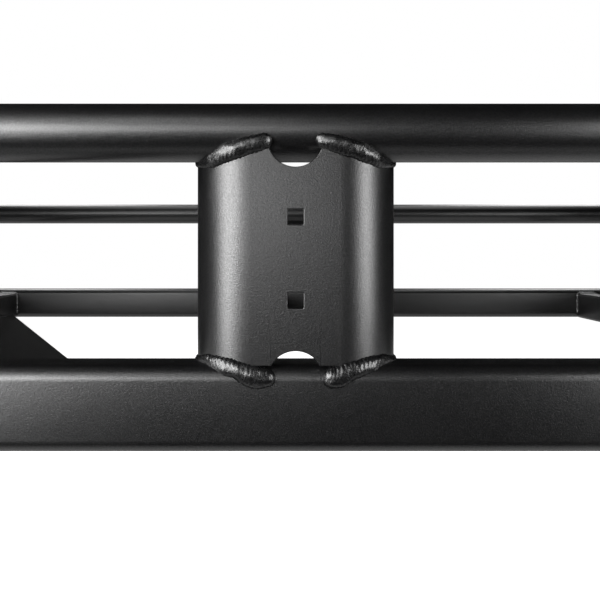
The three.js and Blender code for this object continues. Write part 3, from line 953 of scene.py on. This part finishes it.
def revolve(name, node, rows, material, body, closed=False, sides=72, sharp=35.0):
    """A piece turned about an axis along X through its node's middle. Rows are (x, radius), each a number
    or a function of the angle. Rows that start and end at radius 0 close the piece; closed rows make a ring."""
    low, high, middle = span(node)
    verts = []
    for x, radius in rows:
        for i in range(sides):
            a = 2 * math.pi * i / sides
            r = at(radius, a)
            verts.append(Vector((at(x, a), middle.y + r * math.cos(a), middle.z + r * math.sin(a))))
    faces = grid_faces(len(rows), sides)
    if closed:
        last = (len(rows) - 1) * sides
        for i in range(sides):
            n = (i + 1) % sides
            faces.append((last + i, last + n, n, i))
    return make_piece(name, verts, faces, material, body, [node], sharp)


def hexagon(flats):
    half = flats / 2
    return lambda a: half / math.cos(a % (math.pi / 3) - math.pi / 6)


def chamfer_row(x, flats, direction):
    """The curved edge where a 30 degree chamfer meets a hexagon's sides."""
    radius = hexagon(flats)
    start = 0.475 * flats
    return (lambda a: x + direction * (radius(a) - start) * math.tan(math.radians(28)), radius)


def thread_rows(start, end, radius, pitch):
    """Rows of a helical V thread, shallow where it runs out and at the bolt's point."""
    depth = 0.56 * pitch
    rows = []
    count = round((end - start) / pitch * 10)
    for i in range(count + 1):
        x = start + (end - start) * i / count
        fade = min(1.0, (x - start) / (2 * pitch))
        lead = lambda a, x=x: (x / pitch - a / (2 * math.pi)) % 1.0
        shape = lambda a, f=fade, lead=lead: radius - depth * f * (1 - min(abs(lead(a) - 0.5) * 2.3, 1.0))
        rows.append((x, shape))
    return rows


def bolt_rows(low, high, flats, head, radius, pitch, thread_from):
    top = low + head
    tip = high - 0.9 * pitch
    tapered = lambda a: radius - 0.7 * pitch
    return (
        [(low + 0.5 * MM, 0.0), (low + 0.5 * MM, 0.27 * flats), (low, 0.31 * flats), (low, 0.475 * flats)]
        + [chamfer_row(low, flats, 1)]
        + [(top - 0.5 * MM, hexagon(flats)), (top - 0.5 * MM, 0.47 * flats), (top, 0.465 * flats)]
        + [(top, radius + 0.5 * MM), (top + 0.5 * MM, radius), (thread_from - 0.1 * MM, radius)]
        + thread_rows(thread_from, tip, radius, pitch)
        + [(tip + 0.3 * pitch, tapered), (high, radius - 1.2 * pitch), (high, 0.0)]
    )


def nut_rows(low, high, flats, bore):
    return [
        (low + 1.0 * MM, bore),
        (low, bore + 0.9 * MM),
        (low, 0.475 * flats),
        chamfer_row(low, flats, 1),
        chamfer_row(high, flats, -1),
        (high, 0.475 * flats),
        (high, bore + 0.9 * MM),
        (high - 1.0 * MM, bore),
    ]


def rounded_ring(low, high, outer, inner, edge):
    """A ring's section with its four corners rounded."""
    q = math.pi / 2
    rows = []
    for x, r, start in (
        (high - edge, outer - edge, 0),
        (low + edge, outer - edge, q),
        (low + edge, inner + edge, 2 * q),
        (high - edge, inner + edge, 3 * q),
    ):
        rows += [(x + edge * math.cos(a), r + edge * math.sin(a)) for a in np.linspace(start, start + q, 4)]
    return rows


def add_rings():
    for node, bore, edge, material, slot in (
        ("pivot_washer_left", 8.4, 0.45, ZINC, "zinc_plate"),
        ("pivot_washer_right", 8.4, 0.45, ZINC, "zinc_plate"),
        ("lock_washer_left", 6.4, 0.45, ZINC, "zinc_plate"),
        ("lock_washer_right", 6.4, 0.45, ZINC, "zinc_plate"),
        ("pivot_sleeve", 8.4, 0.5, ZINC, "zinc_plate"),
        ("lock_sleeve", 6.4, 0.5, ZINC, "zinc_plate"),
        ("knob_insert", 6.4, 0.6, BRASS, "brass"),
    ):
        low, high, middle = span(node)
        rows = rounded_ring(low.x, high.x, (high.z - low.z) / 2, bore * MM, edge * MM)
        body = KNOB if node == "knob_insert" else SHANK
        revolve(node + "_turned", node, rows, material, body, closed=True)


def add_bolts():
    low, high, middle = span("pivot_bolt")
    rows = bolt_rows(low.x, high.x, 24 * MM, 10 * MM, 8 * MM, 2.0 * MM, span("pivot_nut")[0].x)
    revolve("pivot_bolt_threaded", "pivot_bolt", rows, ZINC, SHANK)
    low, high, middle = span("lock_bolt")
    rows = bolt_rows(low.x, high.x, 19 * MM, 7.5 * MM, 6 * MM, 1.75 * MM, span("knob_insert")[0].x)
    revolve("lock_bolt_threaded", "lock_bolt", rows, ZINC, SHANK)
    low, high, middle = span("pivot_nut")
    rows = nut_rows(low.x, high.x, 24 * MM, 8.3 * MM)
    revolve("pivot_nut_hex", "pivot_nut", rows, ZINC, SHANK, closed=True)


def add_knob():
    low, high, middle = span("lock_knob")
    radius = lambda base, lobe: lambda a: (base + lobe * math.cos(6 * a)) * MM
    rows = [
        (low.x + 19 * MM, 0.0),
        (low.x + 19 * MM, 9.8 * MM),
        (low.x + 0.6 * MM, 9.8 * MM),
        (low.x, 10.4 * MM),
        (low.x, 13.5 * MM),
        (low.x + 1.2 * MM, 14.5 * MM),
        (low.x + 1.2 * MM, radius(21.5, 1.6)),
        (low.x, radius(22.6, 2.0)),
        (low.x, radius(24.6, 2.4)),
    ]
    q = math.pi / 2
    for a in np.linspace(0, q, 8)[1:]:
        rows.append((low.x + 3 * MM * (1 - math.cos(a)), radius(25 + 3 * math.sin(a), 2.6)))
    for a in np.linspace(0, q, 10):
        rows.append((high.x - 4 * MM * (1 - math.sin(a)), radius(24 + 4 * math.cos(a), 2.6 - 0.4 * math.sin(a))))
    rows += [
        (high.x, radius(20.5, 1.7)),
        (high.x - 0.3 * MM, radius(19.4, 1.4)),
        (high.x - 1.4 * MM, radius(18.4, 1.1)),
        (high.x - 1.7 * MM, radius(17.2, 0.8)),
        (high.x - 1.7 * MM, 12.5 * MM),
        (high.x - 1.4 * MM, 11.4 * MM),
        (high.x - 0.7 * MM, 10.6 * MM),
        (high.x - 0.4 * MM, 9.4 * MM),
        (high.x - 0.4 * MM, 0.0),
    ]
    revolve("lock_knob_grip", "lock_knob", rows, PLASTIC, KNOB, sides=180, sharp=40.0)


add_rings()
add_bolts()
add_knob()

# ---- Hitch pin and its clip ----


def rod(points, radii, outward, sides=40):
    """A solid round rod along points, with a radius at each and flat ends."""
    verts = []
    for (origin, across, out), radius in zip(frames_along(points, outward), radii):
        verts += place_section(circle(radius, sides), origin, across, out)
    faces = grid_faces(len(points), sides)
    faces.append(tuple(reversed(range(sides))))
    faces.append(tuple(range((len(points) - 1) * sides, len(points) * sides)))
    return verts, faces


def add_hitch_pin():
    low, high, middle = span("hitch_pin")
    radius = high.y
    bend = 14 * MM
    bend_start = high.x - radius - bend
    handle_end = low.z
    end_cut = 2.2 * MM
    points = [Vector((low.x, 0, 0)), Vector((low.x + end_cut / 2, 0, 0)), Vector((low.x + end_cut, 0, 0))]
    radii = [radius - 2.0 * MM, radius - 0.8 * MM, radius]
    for x in np.linspace(low.x + 2 * end_cut, bend_start, 12):
        points.append(Vector((x, 0, 0)))
    for a in np.linspace(0, math.pi / 2, 22)[1:]:
        points.append(Vector((bend_start + bend * math.sin(a), 0, bend * math.cos(a) - bend)))
    for z in np.linspace(-bend - 2 * MM, handle_end + end_cut, 6):
        points.append(Vector((bend_start + bend, 0, z)))
    radii += [radius] * (len(points) - len(radii))
    points += [Vector((bend_start + bend, 0, handle_end + end_cut / 2)), Vector((bend_start + bend, 0, handle_end))]
    radii += [radius - 0.8 * MM, radius - 2.0 * MM]
    verts, faces = rod(points, radii, lambda i, t: Vector((0, 1, 0)))
    pin = loose("hitch_pin_rod", verts, faces)
    clip_x = span("pin_clip")[2].x
    place = lambda a, b, c: Vector((a + clip_x, b, c))
    carve(pin, prism("clip_hole", circle(2.2 * MM, 24), -2 * radius, 2 * radius, place))
    pin.data.materials.clear()
    pin.data.materials.append(ZINC)
    finish_piece(pin, SHANK, ["hitch_pin"], 40.0)


def add_pin_clip():
    low, high, middle = span("pin_clip")
    wire = (high.x - low.x) / 2
    lead, leg, loop = 13 * MM, 42 * MM, 9 * MM
    top = leg - lead
    bow = span("hitch_pin")[1].y + wire + 0.7 * MM
    knots = [(0, -lead), (0, 0), (0, top * 0.6), (0, top)]
    tilt = math.asin(min(bow / loop - 1, 1))
    knots += [
        (loop * (1 - math.cos(a)), top + loop * math.sin(a)) for a in np.linspace(0, math.pi + tilt, 12)[1:-1]
    ]
    knots += [(bow * math.cos(a), bow * math.sin(a)) for a in np.linspace(math.pi / 4, -math.pi / 4, 8)]
    tail = knots[-1]
    knots.append((tail[0] + lead / 3, tail[1] - lead / 2))
    line = smooth_line([(y, z, 0) for y, z in knots], 0.8 * MM)
    points = [Vector((middle.x, q[0], q[1])) for q in line]
    radii = [wire] * len(points)
    radii[0] = radii[-1] = wire * 0.7
    verts, faces = rod(points, radii, lambda i, t: Vector((1, 0, 0)), 20)
    make_piece("pin_clip_wire", verts, faces, SPRING, SHANK, ["pin_clip"], 50.0)


add_hitch_pin()
add_pin_clip()

# ---- Floor, light and camera ----

GROUND_Z = -0.42


def add_floor():
    m = Nodes("pale_floor")
    m.set("Base Color", m.ramp(m.noise(3.0, 2.0), [(0.3, (0.86, 0.86, 0.86)), (0.7, (0.9, 0.9, 0.9))]))
    m.value("Roughness", 0.8)
    m.value("Emission Color", (1, 1, 1, 1))
    m.value("Emission Strength", 1.0)
    size = 4.0
    corners = [(-size, MID_Y - size), (size, MID_Y - size), (size, MID_Y + size), (-size, MID_Y + size)]
    mesh = bpy.data.meshes.new("floor")
    mesh.from_pydata([(x, y, GROUND_Z) for x, y in corners], [], [(0, 1, 2, 3)])
    mesh.materials.append(m.material)
    floor = bpy.data.objects.new("floor", mesh)
    bpy.context.scene.collection.objects.link(floor)
    floor.visible_glossy = False
    floor.visible_diffuse = False


def add_world():
    world = bpy.data.worlds.new("studio")
    world.use_nodes = True
    background = world.node_tree.nodes["Background"]
    background.inputs["Color"].default_value = (1, 1, 1, 1)
    background.inputs["Strength"].default_value = 1.0
    bpy.context.scene.world = world
    world.cycles_visibility.diffuse = False
    world.cycles_visibility.glossy = False


def add_softbox(name, azimuth, elevation, distance, size, power, aim):
    """An area light seen from aim at an azimuth, 0 towards -Y and positive to the left, and an elevation."""
    a, e = math.radians(azimuth), math.radians(elevation)
    toward = Vector((-math.sin(a) * math.cos(e), -math.cos(a) * math.cos(e), math.sin(e)))
    light = bpy.data.lights.new(name, "AREA")
    light.shape = "RECTANGLE"
    light.size, light.size_y = size
    light.energy = power
    lamp = bpy.data.objects.new(name, light)
    lamp.location = aim + toward * distance
    lamp.rotation_euler = toward.to_track_quat("Z", "Y").to_euler()
    lamp.visible_camera = False
    bpy.context.scene.collection.objects.link(lamp)
    return lamp


BRACKET_MIDDLE = Vector((0, REAR_Y, (BRACKET_LOW.z + BRACKET_HIGH.z) / 2))


def link_light(lamp, pieces, state):
    """Let a lamp light only some pieces, or all but them, as barn doors and black flags would."""
    linked = bpy.data.collections.new(lamp.name + "_linked")
    for piece in pieces:
        linked.objects.link(piece)
    lamp.light_linking.receiver_collection = linked
    for link in linked.collection_objects:
        link.light_linking.link_state = state


def add_lights():
    """A tall wide softbox on the left, a weaker one on the right, small fills, and a low glow off the floor."""
    left = add_softbox("left_softbox", 54, 6.5, 1.3, (0.6, 1.04), 18.5, BRACKET_MIDDLE)
    side = add_softbox("far_left_softbox", 84, 26, 1.3, (0.4, 0.4), 6.5, BRACKET_MIDDLE)
    add_softbox("left_fill", 34, 8, 1.3, (0.34, 0.4), 4.8, BRACKET_MIDDLE)
    add_softbox("front_fill", 10, 9, 1.3, (0.4, 0.36), 2.0, BRACKET_MIDDLE)
    add_softbox("high_fill", 24, 38, 1.3, (0.6, 0.5), 1.6, BRACKET_MIDDLE)
    right = add_softbox("right_softbox", -58, 6.5, 1.3, (0.56, 0.74), 10.5, BRACKET_MIDDLE)
    glow = add_softbox("floor_glow", 0, -90, 1.0, (3.0, 3.0), 14.0, BRACKET_MIDDLE)
    glow.location = (0, MID_Y + 1.0, GROUND_Z + 0.01)
    far = [bpy.data.objects[name] for name in ("upper_rail_front_tube", "lower_rail_front_tube")]
    for lamp in (left, side, right):
        link_light(lamp, far, "EXCLUDE")
    far_aim = Vector((0, FRONT_Y, TUBE_Z))
    link_light(add_softbox("far_right_fill", -33, -2, 1.6, (0.5, 0.4), 2.4, far_aim), far, "INCLUDE")
    # Lights for the other sides, kept off what the camera sees best.
    names = ("upper_rail_rear_tube", "lower_rail_rear_tube", "bracket_rear_plate", "weld_beads_rear_bracket")
    near = [bpy.data.objects[name] for name in names]
    middle = [bpy.data.objects[name] for name in ("diagonal_brace_bar", "floor_bar_outer_left_tube", "floor_bar_outer_right_tube")]
    basket_aim = Vector((0, MID_Y, 0.1))
    link_light(add_softbox("overhead_softbox", 180, 82, 1.9, (2.6, 1.8), 17, basket_aim), near, "EXCLUDE")
    for name, sign in (("left", 1), ("right", -1)):
        back_box = add_softbox(f"back_softbox_{name}", sign * 138, 36, 2.2, (1.0, 1.2), 17, basket_aim)
        link_light(back_box, near + middle[:1], "EXCLUDE")
        side_box = add_softbox(f"side_softbox_{name}", sign * 100, 12, 2.2, (1.2, 1.0), 12, basket_aim)
        link_light(side_box, near[2:] + far + middle, "EXCLUDE")


# The camera is level, a little above the middle of the bracket, close to the rear rail.
EYE_BACK = 272 * MM
EYE_HEIGHT = 106.8 * MM
EYE_RIGHT = 1.3 * MM
FOCAL_SHARE = 0.86
HORIZON_SHIFT = -0.0775
SIDE_SHIFT = 0.0033


def add_camera():
    data = bpy.data.cameras.new("camera")
    data.sensor_width = 36.0
    data.lens = data.sensor_width * FOCAL_SHARE
    data.shift_x = SIDE_SHIFT
    data.shift_y = HORIZON_SHIFT
    data.clip_start = 0.01
    camera = bpy.data.objects.new("camera", data)
    camera.location = (EYE_RIGHT, REAR_Y - EYE_BACK, FLOOR_Z + EYE_HEIGHT)
    camera.rotation_euler = (math.pi / 2, 0, 0)
    bpy.context.scene.collection.objects.link(camera)
    bpy.context.scene.camera = camera


add_floor()
add_world()
add_lights()
add_camera()
bpy.context.scene.view_settings.view_transform = "Standard"
